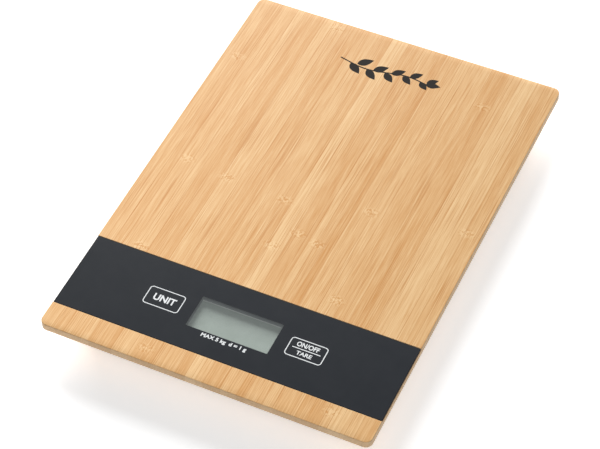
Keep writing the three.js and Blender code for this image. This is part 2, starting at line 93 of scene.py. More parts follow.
# The studio: a pale seamless floor, a broad soft light low behind the scale, and a fill over the camera.
# The class below writes shader sums as plain expressions, and its node() adds every other kind of node.
class Signal:
    """A node's output. A sum written on it adds a Math node, and node() adds any other kind."""

    def __init__(self, tree, socket=None):
        self.tree = tree
        self.socket = socket

    def node(self, kind, settings=None, sockets=None, out=0):
        made = self.tree.nodes.new("ShaderNode" + kind)
        settings = dict(settings or {})
        stops = settings.pop("stops", None)
        for name, value in settings.items():
            setattr(made, name, value)
        if stops:
            ramp = made.color_ramp
            ramp.interpolation = "CONSTANT"
            for _ in stops[2:]:
                ramp.elements.new(0.5)
            for element, (position, tone) in zip(ramp.elements, stops):
                element.position = position
                element.color = (tone, tone, tone, 1)
        for key, value in (sockets or {}).items():
            if isinstance(value, Signal):
                self.tree.links.new(value.socket, made.inputs[key])
            else:
                made.inputs[key].default_value = value
        return Signal(self.tree, made.outputs[out]) if len(made.outputs) else None

    def math(self, operation, first, second=0.0):
        return self.node("Math", {"operation": operation}, {0: first, 1: second})

    def __add__(self, other):
        return self.math("ADD", self, other)

    def __sub__(self, other):
        return self.math("SUBTRACT", self, other)

    def __rsub__(self, other):
        return self.math("SUBTRACT", other, self)

    def __mul__(self, other):
        return self.math("MULTIPLY", self, other)

    def __gt__(self, other):
        return self.math("GREATER_THAN", self, other)

    def __abs__(self):
        return self.math("ABSOLUTE", self)

    __radd__ = __add__
    __rmul__ = __mul__

    def step(self, low, high):
        """0 below low and 1 above high, with a smooth rise between."""
        return self.node("MapRange", {"interpolation_type": "SMOOTHSTEP"},
                         {"Value": self, "From Min": low, "From Max": high})

    def tint(self, first, second):
        """A colour that goes from first to second as this goes from 0 to 1."""
        return self.node("Mix", {"data_type": "RGBA"}, {0: self, 6: first, 7: second}, out=2)

    def stretched(self, x, y, z):
        return self.node("VectorMath", {"operation": "MULTIPLY"}, {0: self, 1: (x, y, z)})

    def noise(self, scale, detail=3.0, rough=0.5):
        return self.node("TexNoise", None,
                         {"Vector": self, "Scale": scale, "Detail": detail, "Roughness": rough})


def colour(red, green, blue):
    """A colour given as 0 to 255 on a screen, as the shader wants it."""
    def linear(value):
        value /= 255
        return value / 12.92 if value <= 0.04045 else ((value + 0.055) / 1.055) ** 2.4
    return (linear(red), linear(green), linear(blue), 1.0)


def new_material(name):
    """A material, and the place of each point of a piece in the row's frame, in metres."""
    made = bpy.data.materials.new(name)
    made.use_nodes = True
    made.node_tree.nodes.clear()
    return made, Signal(made.node_tree).node("TexCoord", out="Object")


def surface(place, sockets, bump=None, bump_height=0.0):
    """Ends a material in one Principled shader. bump is a height from 0 to 1, bump_height its metres."""
    if bump is not None:
        sockets["Normal"] = bump.node("Bump", None,
                                      {"Strength": 1.0, "Distance": bump_height, "Height": bump})
    shader = place.node("BsdfPrincipled", None, sockets)
    shader.node("OutputMaterial", None, {"Surface": shader})


def link(piece):
    bpy.context.scene.collection.objects.link(piece)
    return piece


def area_light(name, location, target, size, watts):
    lamp = bpy.data.lights.new(name, "AREA")
    lamp.shape = "RECTANGLE"
    lamp.size, lamp.size_y = size
    lamp.energy = watts
    light = link(bpy.data.objects.new(name, lamp))
    light.location = location
    light.rotation_euler = (Vector(location) - Vector(target)).to_track_quat("Z", "Y").to_euler()


BACK_AZIMUTH = math.radians(30)
BACK_ELEVATION = math.radians(21)
sun = bpy.data.lights.new("back_light", "SUN")
sun.angle = math.radians(36)
sun.energy = 6.2
back_light = link(bpy.data.objects.new("back_light", sun))
towards_back = Vector((-math.sin(BACK_AZIMUTH) * math.cos(BACK_ELEVATION),
                       math.cos(BACK_AZIMUTH) * math.cos(BACK_ELEVATION), math.sin(BACK_ELEVATION)))
back_light.rotation_euler = towards_back.to_track_quat("Z", "Y").to_euler()
area_light("front_fill", (0.9, -1.6, 2.2), (0, 0, 0), (1.8, 1.8), 19)
world = bpy.data.worlds.new("studio")
world.use_nodes = True
world.node_tree.nodes["Background"].inputs["Color"].default_value = (0.96, 0.98, 1.0, 1)
world.node_tree.nodes["Background"].inputs["Strength"].default_value = 0.15
bpy.context.scene.world = world
bpy.context.scene.view_settings.view_transform = "Standard"

FLOOR_HALF = 3.0
floor_mesh = bpy.data.meshes.new("floor")
floor_mesh.from_pydata([(x * FLOOR_HALF, y * FLOOR_HALF, 0) for x, y in ((-1, -1), (1, -1), (1, 1), (-1, 1))],
                       [], [(0, 1, 2, 3)])
floor = link(bpy.data.objects.new("floor", floor_mesh))
paper, place = new_material("studio_paper")
paper_tone = place.noise(3.0).step(0.2, 0.8)
surface(place, {"Base Color": paper_tone.tint((0.88, 0.88, 0.88, 1), (0.90, 0.90, 0.90, 1)), "Roughness": 0.9,
                "Specular IOR Level": 0.1, "Emission Color": (1, 1, 1, 1), "Emission Strength": 0.5})
floor_mesh.materials.append(paper)


# The weighing board: strips of bamboo glued edge to edge, planed to 4 mm and given a satin lacquer.
# A shallow groove is milled across its front for the film, and a window and two key holes right through it.
BOARD_CORNER = 3.5 * MM
BOARD_EASE = 0.3 * MM
GROOVE_GAP = 0.22 * MM
board_low, board_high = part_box("bamboo_board")
film_low, film_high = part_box("front_panel")
tape_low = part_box("panel_tape")[0]
groove_floor = tape_low.z - 0.02 * MM


def rounded_loop(width, depth, radius, z, steps=8, centre=(0, 0)):
    """Points round a rectangle with round corners, anticlockwise seen from above."""
    points = []
    for quarter, (sx, sy) in enumerate(((1, 1), (-1, 1), (-1, -1), (1, -1))):
        for i in range(steps + 1):
            angle = math.radians(90) * (quarter + i / steps)
            points.append((centre[0] + sx * (width / 2 - radius) + radius * math.cos(angle),
                           centre[1] + sy * (depth / 2 - radius) + radius * math.sin(angle), z))
    return points


def as_piece(name, shape, sharp=30):
    """A named object from a finished bmesh, smooth except at edges sharper than sharp degrees."""
    bmesh.ops.remove_doubles(shape, verts=shape.verts, dist=1e-7)
    bmesh.ops.recalc_face_normals(shape, faces=shape.faces)
    mesh = bpy.data.meshes.new(name)
    shape.to_mesh(mesh)
    shape.free()
    mesh.polygons.foreach_set("use_smooth", [True] * len(mesh.polygons))
    mesh.set_sharp_from_angle(angle=math.radians(sharp))
    return link(bpy.data.objects.new(name, mesh))


def loft(shape, loops, caps=True, around=False):
    """Skins a row of loops with the same number of points, and closes its ends or joins them."""
    rings = [[shape.verts.new(point) for point in loop] for loop in loops]
    pairs = list(zip(rings, rings[1:])) + ([(rings[-1], rings[0])] if around else [])
    for lower, upper in pairs:
        for i in range(len(lower)):
            shape.faces.new((lower[i - 1], lower[i], upper[i], upper[i - 1]))
    if caps and not around:
        shape.faces.new(rings[0])
        shape.faces.new(rings[-1])


def eased_plate(name, size, radius, low, high, ease, centre=(0, 0), steps=8):
    """A plate with round corners whose top and bottom edges are rounded by ease."""
    arc = [math.radians(90) * i / 4 for i in range(5)]
    levels = [(ease * (1 - math.sin(a)), low + ease * (1 - math.cos(a))) for a in arc]
    levels += [(inset, high - (z - low)) for inset, z in reversed(levels)]
    shape = bmesh.new()
    loft(shape, [rounded_loop(size[0] - 2 * inset, size[1] - 2 * inset, radius - inset, z, steps, centre)
                 for inset, z in levels])
    return as_piece(name, shape)


def cut(piece, cutters):
    """Cuts each of the other pieces out of this one, and removes them."""
    for cutter in cutters:
        modifier = piece.modifiers.new("cut", "BOOLEAN")
        modifier.operation = "DIFFERENCE"
        modifier.solver = "EXACT"
        modifier.object = cutter
    graph = bpy.context.evaluated_depsgraph_get()
    mesh = bpy.data.meshes.new_from_object(piece.evaluated_get(graph))
    piece.modifiers.clear()
    piece.data = mesh
    for cutter in cutters:
        bpy.data.objects.remove(cutter)
    mesh.polygons.foreach_set("use_smooth", [True] * len(mesh.polygons))
    mesh.set_sharp_from_angle(angle=math.radians(30))
    return piece


def turned(name, profile, centre=(0, 0), sides=72, ease=0.0, lift=0.0):
    """A piece turned about an upright axis from [radius, height] points, its corners rounded by ease."""
    points = [Vector(point) for point in profile]
    if ease:
        softened = []
        for before, corner, after in zip([points[0]] + points, points, points[1:] + [points[-1]]):
            back, on = before - corner, after - corner
            if back.length < 1e-9 or on.length < 1e-9:
                softened.append(corner)
                continue
            reach = min(ease, back.length * 0.4, on.length * 0.4)
            start, end = corner + back.normalized() * reach, corner + on.normalized() * reach
            softened += [start.lerp(corner, t).lerp(corner.lerp(end, t), t) for t in (0, 0.25, 0.5, 0.75, 1)]
        points = softened
    shape = bmesh.new()
    angles = [2 * math.pi * i / sides for i in range(sides)]
    loops = [[(centre[0] + r * math.cos(a), centre[1] + r * math.sin(a), z + lift) for a in angles]
             for r, z in points]
    loft(shape, loops, caps=False)
    return as_piece(name, shape, 35)


def prism(name, outline, z_low, z_high):
    """An upright piece from an outline of (x, y) points."""
    shape = bmesh.new()
    loft(shape, [[(x, y, z) for x, y in outline] for z in (z_low, z_high)])
    return as_piece(name, shape)


board_size = (board_high.x - board_low.x, board_high.y - board_low.y)
board = eased_plate("weighing_board", board_size, BOARD_CORNER, board_low.z, board_high.z, BOARD_EASE,
                    steps=12)
groove_front, groove_back = film_low.y - GROOVE_GAP, film_high.y + GROOVE_GAP
GROOVE_FLARE = 0.12 * MM
groove_section = [(groove_front, groove_floor), (groove_back, groove_floor),
                  (groove_back, board_top - GROOVE_FLARE),
                  (groove_back + 2 * GROOVE_FLARE, board_top + GROOVE_FLARE),
                  (groove_front - 2 * GROOVE_FLARE, board_top + GROOVE_FLARE),
                  (groove_front, board_top - GROOVE_FLARE)]
groove_shape = bmesh.new()
loft(groove_shape, [[(x, y, z) for y, z in groove_section] for x in (-board_size[0], board_size[0])])
film_centre = (0, (film_low.y + film_high.y) / 2)
WINDOW_CUT = (50 * MM, 28 * MM)
KEY_HOLE_RADIUS = 5 * MM
key_places = [((low.x + high.x) / 2, (low.y + high.y) / 2)
              for low, high in (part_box("unit_key"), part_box("tare_key"))]


def round_outline(radius, centre, sides=48):
    return [(centre[0] + radius * math.cos(2 * math.pi * i / sides),
             centre[1] + radius * math.sin(2 * math.pi * i / sides)) for i in range(sides)]


def box_outline(size, centre):
    return [(centre[0] + sx * size[0] / 2, centre[1] + sy * size[1] / 2)
            for sx, sy in ((-1, -1), (1, -1), (1, 1), (-1, 1))]


window_cutter = prism("window_cutter", box_outline(WINDOW_CUT, film_centre), board_low.z - MM, board_top + MM)
key_cutters = [prism("key_cutter", round_outline(KEY_HOLE_RADIUS, place), board_low.z - MM, board_top + MM)
               for place in key_places]
cut(board, [as_piece("groove_cutter", groove_shape), window_cutter, *key_cutters])

# The strips are graded by shade before they are glued up.
SHADES = {"brown": 0.05, "tan": 0.22, "honey": 0.38, "pale": 0.55, "blond": 0.78}
# Strips from left to right: where each starts, in millimetres from the middle, and its shade.
# The four strips from 56 mm are one shade paler than their wood: painted light for the dimmer right side.
STRIPS = [(-80, "honey"), (-72, "tan"), (-68, "honey"), (-59, "pale"), (-55, "tan"), (-44, "pale"),
          (-36, "honey"), (-32, "tan"), (-24, "honey"), (-12, "tan"), (-7.5, "blond"), (-3, "pale"),
          (1, "tan"), (9, "pale"), (13, "honey"), (17, "brown"), (21, "honey"), (29, "pale"),
          (34, "honey"), (45, "tan"), (56, "pale"), (60, "blond"), (68, "pale"), (72, "honey")]
# Where a cane's knuckle crosses a strip, in millimetres.
KNUCKLES = [(-36, 108), (50, 87), (-72, 71), (-64, 1), (-42, -2), (-11, -4), (3, -20), (-5, -31), (14, -22),
            (28, 5), (73, 11), (35, -48), (-59, -55), (58, -104), (-30, -106)]

bamboo, place = new_material("lacquered_bamboo")
x_mm = place.node("SeparateXYZ", None, {0: place}, out=0) * 1000
facing = place.node("NewGeometry", out="Normal")
facing_x = abs(place.node("SeparateXYZ", None, {0: facing}, out=0))
facing_y = abs(place.node("SeparateXYZ", None, {0: facing}, out=1))
end_face = facing_y.step(0.55, 0.75)
side_face = facing_x.step(0.55, 0.75)

KNUCKLE_SIZE = (5.0, 3.4)
knuckle_reach = place.stretched(1000 / KNUCKLE_SIZE[0], 1000 / KNUCKLE_SIZE[1], 0)
knuckles = None
for knuckle_x, knuckle_y in KNUCKLES:
    distance = place.node("VectorMath", {"operation": "DISTANCE"},
                          {0: knuckle_reach,
                           1: (knuckle_x / KNUCKLE_SIZE[0], knuckle_y / KNUCKLE_SIZE[1], 0)},
                          out="Value")
    near = 1 - distance.step(0.25, 1.15)
    knuckles = near if knuckles is None else knuckles + near
wander = place.noise(420, 3) - 0.5
swirl = knuckles * wander * 2.4
slow_drift = place.stretched(60, 9, 60).noise(1.0, 1) - 0.5
fibre_x = x_mm + swirl + slow_drift * 0.9
along = place.node("SeparateXYZ", None, {0: place}, out=1) * 1000
depth_mm = place.node("SeparateXYZ", None, {0: place}, out=2) * 1000
fibre_place = place.node("CombineXYZ", None, {0: fibre_x, 1: along, 2: depth_mm})
first_x = STRIPS[0][0]
strip_width = -2 * first_x
strip_stops = [((x - first_x) / strip_width, SHADES[shade]) for x, shade in STRIPS]
SEAM_WIDTH = 0.26


def strip_tone(shift):
    position = (x_mm + (shift - first_x)) * (1 / strip_width)
    return position.node("ValToRGB", {"stops": strip_stops}, {0: position})


strip_here, strip_beside = strip_tone(0), strip_tone(SEAM_WIDTH)
seam = abs(strip_here - strip_beside) > 0.02
fine_fibres = fibre_place.stretched(2.4, 0.06, 1.2).noise(1.0, 5, 0.72)
broad_fibres = fibre_place.stretched(0.7, 0.008, 0.4).noise(1.0, 3, 0.55)
dark_fibres = fibre_place.stretched(2.2, 0.018, 1.5).noise(1.0, 2, 0.4).step(0.58, 0.67)
pale_fibres = fibre_place.stretched(1.5, 0.030, 1.0).noise(1.0, 3, 0.5).step(0.58, 0.74)
squiggle = place.noise(900, 2).step(0.46, 0.62) * knuckles
tone = strip_here * 0.50 + (broad_fibres - 0.5) * 0.60 + (fine_fibres - 0.5) * 1.55 + 0.27
tone = tone - squiggle * 0.6 + knuckles * 0.24 + pale_fibres * 0.14
wood = tone.step(-0.15, 1.15).tint(colour(210, 149, 82), colour(246, 210, 158))
seam = seam * (place.stretched(300, 40, 300).noise(1.0, 2) * 0.7 + 0.15)
wood = (dark_fibres * 0.55 + seam).tint(wood, colour(192, 124, 52))
pores = place.stretched(1, 0.25, 1).node("TexVoronoi", None, {"Vector": place.stretched(1500, 60, 1900),
                                                             "Scale": 1.0}, out="Distance")
end_grain = (1 - pores.step(0.12, 0.34)) * 0.6
end_wood = end_grain.tint(strip_here.tint(colour(204, 170, 132), colour(222, 192, 154)), colour(150, 108, 70))
side_lines = fibre_place.stretched(1.0, 0.02, 3.0).noise(1.0, 3, 0.6).step(0.3, 0.7)
side_wood = side_lines.tint(colour(192, 160, 124), colour(218, 190, 154))
wood = end_face.tint(wood, end_wood)
wood = side_face.tint(wood, side_wood)
lacquer = place.noise(35, 2) * 0.12 + fine_fibres * 0.10 + 0.42
surface(place, {"Base Color": wood, "Roughness": lacquer, "Specular IOR Level": 0.12},
        fine_fibres * 0.5 + dark_fibres * -0.4 - seam * 0.3 + squiggle * 0.3, 0.018 * MM)
board.data.materials.clear()
board.data.materials.append(bamboo)
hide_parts("bamboo_board")
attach(board, "root")


# The front film: half a millimetre of clear polyester, printed dark from behind all over but for the
# display's window, and stuck down in the groove. Its key marks and legends are printed white.
WINDOW = (40 * MM, 17.6 * MM)
WINDOW_CORNER = 0.5 * MM
window_centre = (-0.2 * MM, -78.4 * MM)
FILM_EDGE = 0.08 * MM
film_shape = bmesh.new()
film_size = (film_high.x - film_low.x, film_high.y - film_low.y)


def film_loop(inset, z):
    return rounded_loop(film_size[0] - 2 * inset, film_size[1] - 2 * inset, 0.3 * MM, z, 4, film_centre)


def window_loop(z):
    return rounded_loop(*WINDOW, WINDOW_CORNER, z, 4, window_centre)


loft(film_shape, [window_loop(film_low.z), film_loop(0, film_low.z), film_loop(0, film_high.z - FILM_EDGE),
                  film_loop(FILM_EDGE, film_high.z), window_loop(film_high.z)], caps=False)
printed_faces = len(film_shape.faces)
loft(film_shape, [window_loop(film_low.z), window_loop(film_high.z)])
for face in list(film_shape.faces)[printed_faces:]:
    if abs(face.calc_center_median().z - (film_low.z + film_high.z) / 2) < 0.1 * MM:
        film_shape.faces.remove(face)
    else:
        face.material_index = 1
film = as_piece("front_film", film_shape)

ink, place = new_material("dark_printed_film")
haze = place.noise(90, 3).step(0.3, 0.7)
orange_peel = place.noise(2600, 2)
surface(place, {"Base Color": haze.tint((0.011, 0.014, 0.019, 1), (0.013, 0.016, 0.021, 1)),
                "Roughness": place.noise(240, 2) * 0.06 + 0.36, "Specular IOR Level": 0.08},
        orange_peel, 0.0012 * MM)
clear, place = new_material("clear_film_window")
surface(place, {"Base Color": (0.9, 0.95, 0.95, 1), "Alpha": place.noise(150, 2) * 0.02 + 0.05,
                "Roughness": 0.12})
film.data.materials.append(ink)
film.data.materials.append(clear)
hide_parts("front_panel")
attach(film, "root")

PRINT_THICKNESS = 0.012 * MM
white_ink, place = new_material("white_screen_print")
speckle = place.noise(5200, 2).step(0.30, 0.46)
surface(place, {"Base Color": speckle.tint(colour(196, 200, 203), colour(232, 235, 236)), "Roughness": 0.55})


def printed(piece, material, body="root"):
    piece.data.materials.append(material)
    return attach(piece, body)


def printed_ring(name, size, corner, line, centre):
    outer = rounded_loop(*size, corner, film_high.z, 8, centre)
    inner = rounded_loop(size[0] - 2 * line, size[1] - 2 * line, corner - line, film_high.z, 8, centre)
    top = film_high.z + PRINT_THICKNESS
    shape = bmesh.new()
    loft(shape, [inner, outer, [(x, y, top) for x, y, _ in outer], [(x, y, top) for x, y, _ in inner]],
         caps=False, around=True)
    return printed(as_piece(name, shape), white_ink)


def printed_words(name, words, size, centre, weight):
    """Words set to an exact width and height, as a thin layer of ink."""
    letters = bpy.data.curves.new(name, "FONT")
    letters.body = words
    letters.size = 0.01
    letters.offset = weight * 0.01
    letters.resolution_u = 4
    maker = link(bpy.data.objects.new(name + "_type", letters))
    graph = bpy.context.evaluated_depsgraph_get()
    mesh = bpy.data.meshes.new_from_object(maker.evaluated_get(graph))
    bpy.data.objects.remove(maker)
    shape = bmesh.new()
    shape.from_mesh(mesh)
    bmesh.ops.remove_doubles(shape, verts=shape.verts, dist=1e-7)
    xs, ys = [v.co.x for v in shape.verts], [v.co.y for v in shape.verts]
    for v in shape.verts:
        v.co.x = centre[0] + ((v.co.x - min(xs)) / (max(xs) - min(xs)) - 0.5) * size[0]
        v.co.y = centre[1] + ((v.co.y - min(ys)) / (max(ys) - min(ys)) - 0.5) * size[1]
        v.co.z = film_high.z
    layer = bmesh.ops.extrude_face_region(shape, geom=list(shape.faces))
    for v in layer["geom"]:
        if isinstance(v, bmesh.types.BMVert):
            v.co.z += PRINT_THICKNESS
    return printed(as_piece(name, shape), white_ink)


KEY_MARK = (17.7 * MM, 10.2 * MM)
KEY_LINE = 0.42 * MM
unit_centre = (-35.1 * MM, -78.4 * MM)
tare_centre = (34.8 * MM, -78.8 * MM)
printed_ring("unit_mark", KEY_MARK, 1.6 * MM, KEY_LINE, unit_centre)
printed_ring("tare_mark", KEY_MARK, 1.6 * MM, KEY_LINE, tare_centre)
printed_words("unit_legend", "UNIT", (10.9 * MM, 3.7 * MM), (-34.8 * MM, -78.4 * MM), 0.03)
printed_words("on_off_legend", "ON/OFF", (10.7 * MM, 2.6 * MM), (34.7 * MM, -76.5 * MM), 0.025)
printed_words("tare_legend", "TARE", (7.4 * MM, 2.1 * MM), (34.7 * MM, -81.1 * MM), 0.025)
printed_words("capacity_legend", "MAX 5 kg  d = 1 g", (22 * MM, 2.6 * MM), (-0.3 * MM, -89.3 * MM), 0.035)
divider = prism("tare_divider", box_outline((13.5 * MM, 0.42 * MM), tare_centre), film_high.z,
                film_high.z + PRINT_THICKNESS)
printed(divider, white_ink)


# The maker's place at the back of the board holds a plain sprig of leaves, screen printed in dark brown.
SPRIG_LENGTH = 50 * MM
SPRIG_CENTRE = (-1 * MM, 89.6 * MM)
LEAF_PAIRS = 5
LEAF_ANGLE = math.radians(38)
STEM_HALF = 0.35 * MM
brown_ink, place = new_material("brown_screen_print")
patchy = place.noise(3800, 2).step(0.3, 0.5)
surface(place, {"Base Color": patchy.tint(colour(50, 44, 38), colour(34, 30, 27)),
                "Roughness": 0.7, "Specular IOR Level": 0.08})


def leaf_outline(base, angle, length, width, steps=10):
    sides = [(t / steps, side) for side, order in ((1, range(steps + 1)), (-1, range(steps - 1, 0, -1)))
             for t in order]
    points = []
    for t, side in sides:
        out = side * width / 2 * math.sin(math.pi * t ** 0.8)
        points.append((base[0] + length * t * math.cos(angle) - out * math.sin(angle),
                       base[1] + length * t * math.sin(angle) + out * math.cos(angle)))
    return points


def sprig_height(x):
    return SPRIG_CENTRE[1] + 1.6 * MM * math.sin(2.4 * x / SPRIG_LENGTH * math.pi)


sprig_shape = bmesh.new()
sprig_outlines = []
for i in range(LEAF_PAIRS):
    leaf_x = SPRIG_LENGTH * (0.12 + 0.72 * i / (LEAF_PAIRS - 1) - 0.5)
    for side in (-1, 1):
        base = (SPRIG_CENTRE[0] + leaf_x + (side + 1) * 1.6 * MM, sprig_height(leaf_x) + side * 0.25 * MM)
        length, width = (8.6 - 0.6 * i) * MM, (4.4 - 0.25 * i) * MM
        sprig_outlines.append(leaf_outline(base, side * LEAF_ANGLE, length, width))
tip = SPRIG_LENGTH * 0.40
sprig_outlines.append(leaf_outline((SPRIG_CENTRE[0] + tip, sprig_height(tip)), math.radians(8),
                                   7.5 * MM, 3.6 * MM))
stem_steps = [SPRIG_LENGTH * (i / 24 * 0.9 - 0.5) for i in range(25)]
stem_line = [(SPRIG_CENTRE[0] + x, sprig_height(x)) for x in stem_steps]
sprig_outlines.append([(x, y + STEM_HALF) for x, y in stem_line]
                      + [(x, y - STEM_HALF) for x, y in reversed(stem_line)])
for layer, outline in enumerate(sprig_outlines):
    lift = board_top + PRINT_THICKNESS + layer * 0.0004 * MM
    loft(sprig_shape, [[(x, y, z) for x, y in outline] for z in (board_top, lift)])
printed(as_piece("leaf_sprig", sprig_shape), brown_ink)


# The tape under the film: a die-cut frame of thin double-sided tape with a faint fibre in it. The helpers
# below finish moulded and metal pieces, and ease the edges of nodes that keep their CAD shape.
def moulded(name, base, rough=0.5, grain=1400, relief=0.006, sheen=0.06):
    """Spark-finished moulding: a fine even grain, and faint cloudiness from handling."""
    made, place = new_material(name)
    cloud = place.noise(45, 3).step(0.3, 0.75)
    texture = place.noise(grain, 2)
    darker = tuple(c * 0.86 for c in base[:3]) + (1,)
    surface(place, {"Base Color": (cloud * 0.6 + texture * 0.4).tint(darker, base),
                    "Roughness": cloud * sheen + texture * 0.08 + (rough - 0.06)}, texture, relief * MM)
    return made


def worked_metal(name, base, rough=0.3, stretch=(1, 1, 1), scale=900):
    """Pressed or drawn metal with fine lines along the way it was worked."""
    made, place = new_material(name)
    lines = place.stretched(*stretch).noise(scale, 3)
    stain = place.noise(130, 2).step(0.35, 0.8)
    duller = tuple(c * 0.8 for c in base[:3]) + (1,)
    surface(place, {"Base Color": (lines * 0.5 + stain * 0.5).tint(base, duller), "Metallic": 1.0,
                    "Roughness": lines * 0.16 + stain * 0.06 + (rough - 0.08)}, lines, 0.002 * MM)
    return made


def dress(node, material, ease=0.12):
    """Gives a CAD node its material and eases its edges, leaving its own mesh alone."""
    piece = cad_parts[node]
    piece.data.materials.clear()
    piece.data.materials.append(material)
    piece.modifiers.new("joined", "WELD").merge_threshold = 1e-6
    bevel = piece.modifiers.new("eased", "BEVEL")
    bevel.width = ease * MM
    bevel.segments = 2
    bevel.limit_method = "ANGLE"
    bevel.angle_limit = math.radians(32)
    bevel.use_clamp_overlap = True
    piece.modifiers.new("shading", "WEIGHTED_NORMAL").keep_sharp = False
    return piece


def settle(piece, material, body="root", node=None):
    """Finishes a piece made here: its material, slot, the body it moves with and the node it stands for."""
    piece.data.materials.clear()
    piece.data.materials.append(material)
    if node:
        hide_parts(node)
    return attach(piece, body)


def middle(node):
    low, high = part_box(node)
    return ((low.x + high.x) / 2, (low.y + high.y) / 2)


dress("panel_tape", moulded("double_sided_tape", colour(196, 199, 202), 0.7, 2600, 0.004), 0.02)


# The display carrier: a grey ABS moulding that hangs under the board. Its rim comes up round the display, and
# its two wells guide the keys.
dress("display_carrier", moulded("grey_abs", colour(86, 92, 96), 0.55, relief=0.004), 0.08)


# The display: two glass plates, a grey-green polariser on the front one and a reflector behind. It is blank,
# as it is when the scale is off. A pale line is painted across the polariser just in front of the well's back
# wall.
WELL_BACK = -69.5
polariser, place = new_material("display_polariser")
polariser_y = place.node("SeparateXYZ", None, {0: place}, out=1) * 1000
# A pale line painted across the polariser just in front of the well's back wall.
pale_edge = 1 - abs(polariser_y - (WELL_BACK - 0.2)).step(0.15, 0.45)
mottle = place.noise(260, 3).step(0.3, 0.7)
cells = place.stretched(1000, 1000, 0).noise(6.0, 1) * 0.3 + mottle * 0.7
grey_green = cells.tint(colour(138, 151, 141), colour(143, 156, 146))
surface(place, {"Base Color": (pale_edge * 0.55).tint(grey_green, colour(205, 212, 206)),
                "Roughness": mottle * 0.08 + 0.38, "Specular IOR Level": 0.3}, mottle, 0.001 * MM)
dress("display_polariser", polariser, 0.04)
reflector, place = new_material("display_reflector")
brushed = place.stretched(60, 1400, 60).noise(1.0, 3)
surface(place, {"Base Color": brushed.tint(colour(176, 184, 176), colour(206, 212, 206)), "Metallic": 0.4,
                "Roughness": brushed * 0.2 + 0.35})
dress("display_reflector", reflector, 0.04)
display_glass, place = new_material("display_glass")
faint = place.noise(180, 3).step(0.3, 0.7)
surface(place, {"Base Color": faint.tint(colour(196, 208, 200), colour(206, 216, 208)), "Roughness": 0.06,
                "Alpha": faint * 0.04 + 0.34, "Specular IOR Level": 0.5})
for node in ("display_front_glass", "display_rear_glass"):
    dress(node, display_glass, 0.1)


# The two contact strips: silicone rubber in hair-thin layers, conducting and not by turns, that join the
# front glass to the circuit board.
zebra, place = new_material("layered_contact_rubber")
strip_x = place.node("SeparateXYZ", None, {0: place}) * 1000
layers = (strip_x * 15.7).math("SINE", strip_x * 15.7).step(-0.2, 0.2)
surface(place, {"Base Color": (layers * 0.8).tint(colour(206, 150, 160), colour(58, 50, 54)),
                "Roughness": place.noise(1500, 2) * 0.15 + 0.62}, place.noise(1900, 2), 0.006 * MM)
for node in ("contact_strip_front", "contact_strip_rear"):
    dress(node, zebra, 0.08)


# The circuit board: green solder mask on fibreglass, with copper tracks that show through it. A round blob of
# epoxy covers the main chip. Its legs, pads and solder joints are tinned.
mask, place = new_material("green_solder_mask")
track_place = place.stretched(1000, 1000, 0)
track_cells = track_place.node("TexVoronoi", {"distance": "MANHATTAN", "feature": "F2"},
                               {"Vector": track_place, "Scale": 0.42, "Randomness": 0.8}, out="Distance")
near_cells = track_place.node("TexVoronoi", {"distance": "MANHATTAN"},
                              {"Vector": track_place, "Scale": 0.42, "Randomness": 0.8}, out="Distance")
tracks = 1 - (track_cells - near_cells).step(0.10, 0.16)
via_cells = track_place.node("TexVoronoi", None, {"Vector": track_place, "Scale": 0.28}, out="Distance")
vias = 1 - via_cells.step(0.08, 0.10)
green = tracks.tint(colour(22, 82, 48), colour(48, 122, 74))
surface(place, {"Base Color": (vias * 0.9).tint(green, colour(196, 186, 160)),
                "Roughness": place.noise(420, 2) * 0.10 + 0.28}, tracks, 0.02 * MM)
dress("circuit_board", mask, 0.1)
circuit_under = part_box("circuit_board")[0].z
epoxy = moulded("black_epoxy", colour(24, 24, 26), 0.34, 900, 0.003)
tinned = worked_metal("tinned_solder", colour(206, 208, 210), 0.24, (1, 1, 1), 1600)

cover_low, cover_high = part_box("chip_cover")
dome = cover_high.z - cover_low.z
BLOB_RADIUS = 6 * MM
blob_angles = [math.radians(9 * step) for step in range(1, 10)]
cover_profile = [(0, -dome)] + [(BLOB_RADIUS * math.sin(a), -dome * math.cos(a) ** 0.8) for a in blob_angles]
cover_profile += [(BLOB_RADIUS, -0.03 * MM), (BLOB_RADIUS, 0), (0, 0)]
settle(turned("chip_blob", cover_profile, middle("chip_cover"), lift=cover_high.z), epoxy,
       node="chip_cover")

chip_low, chip_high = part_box("weighing_chip")
chip_centre = middle("weighing_chip")
chip_size = (chip_high.x - chip_low.x, chip_high.y - chip_low.y)
chip_body = eased_plate("chip_body", chip_size, 0.2 * MM, chip_low.z, chip_high.z, 0.18 * MM, chip_centre, 3)
settle(chip_body, epoxy, node="weighing_chip")


def bars(name, boxes):
    """One piece made of small square bars, each given by its lowest and highest corner."""
    shape = bmesh.new()
    for low, high in boxes:
        loft(shape, [[(low[0], low[1], z), (high[0], low[1], z), (high[0], high[1], z), (low[0], high[1], z)]
                     for z in (low[2], high[2])])
    return as_piece(name, shape)


LEGS_A_SIDE = 8
LEG_WIDTH = 0.42 * MM
LEG_BEND = 0.55 * MM
LEG_REACH = 1.1 * MM
LEG_OVERLAP = 0.1 * MM
leg_under, leg_over = chip_high.z - 0.75 * MM, chip_high.z - 0.60 * MM
chip_legs = []
for i in range(LEGS_A_SIDE):
    leg_x = chip_low.x + chip_size[0] * (i + 0.5) / LEGS_A_SIDE
    left, right = leg_x - LEG_WIDTH / 2, leg_x + LEG_WIDTH / 2
    for inner, side in ((chip_low.y, -1), (chip_high.y, 1)):
        ys = sorted((inner + side * 0.02 * MM, inner + side * LEG_BEND))
        feet_y = sorted((inner + side * LEG_BEND, inner + side * LEG_REACH))
        chip_legs.append(((left, ys[0], leg_under), (right, ys[1], leg_over)))
        chip_legs.append(((left, feet_y[0] - LEG_OVERLAP * (side > 0), leg_under),
                          (right, feet_y[1] + LEG_OVERLAP * (side < 0), chip_high.z)))
settle(bars("chip_legs", chip_legs), tinned)

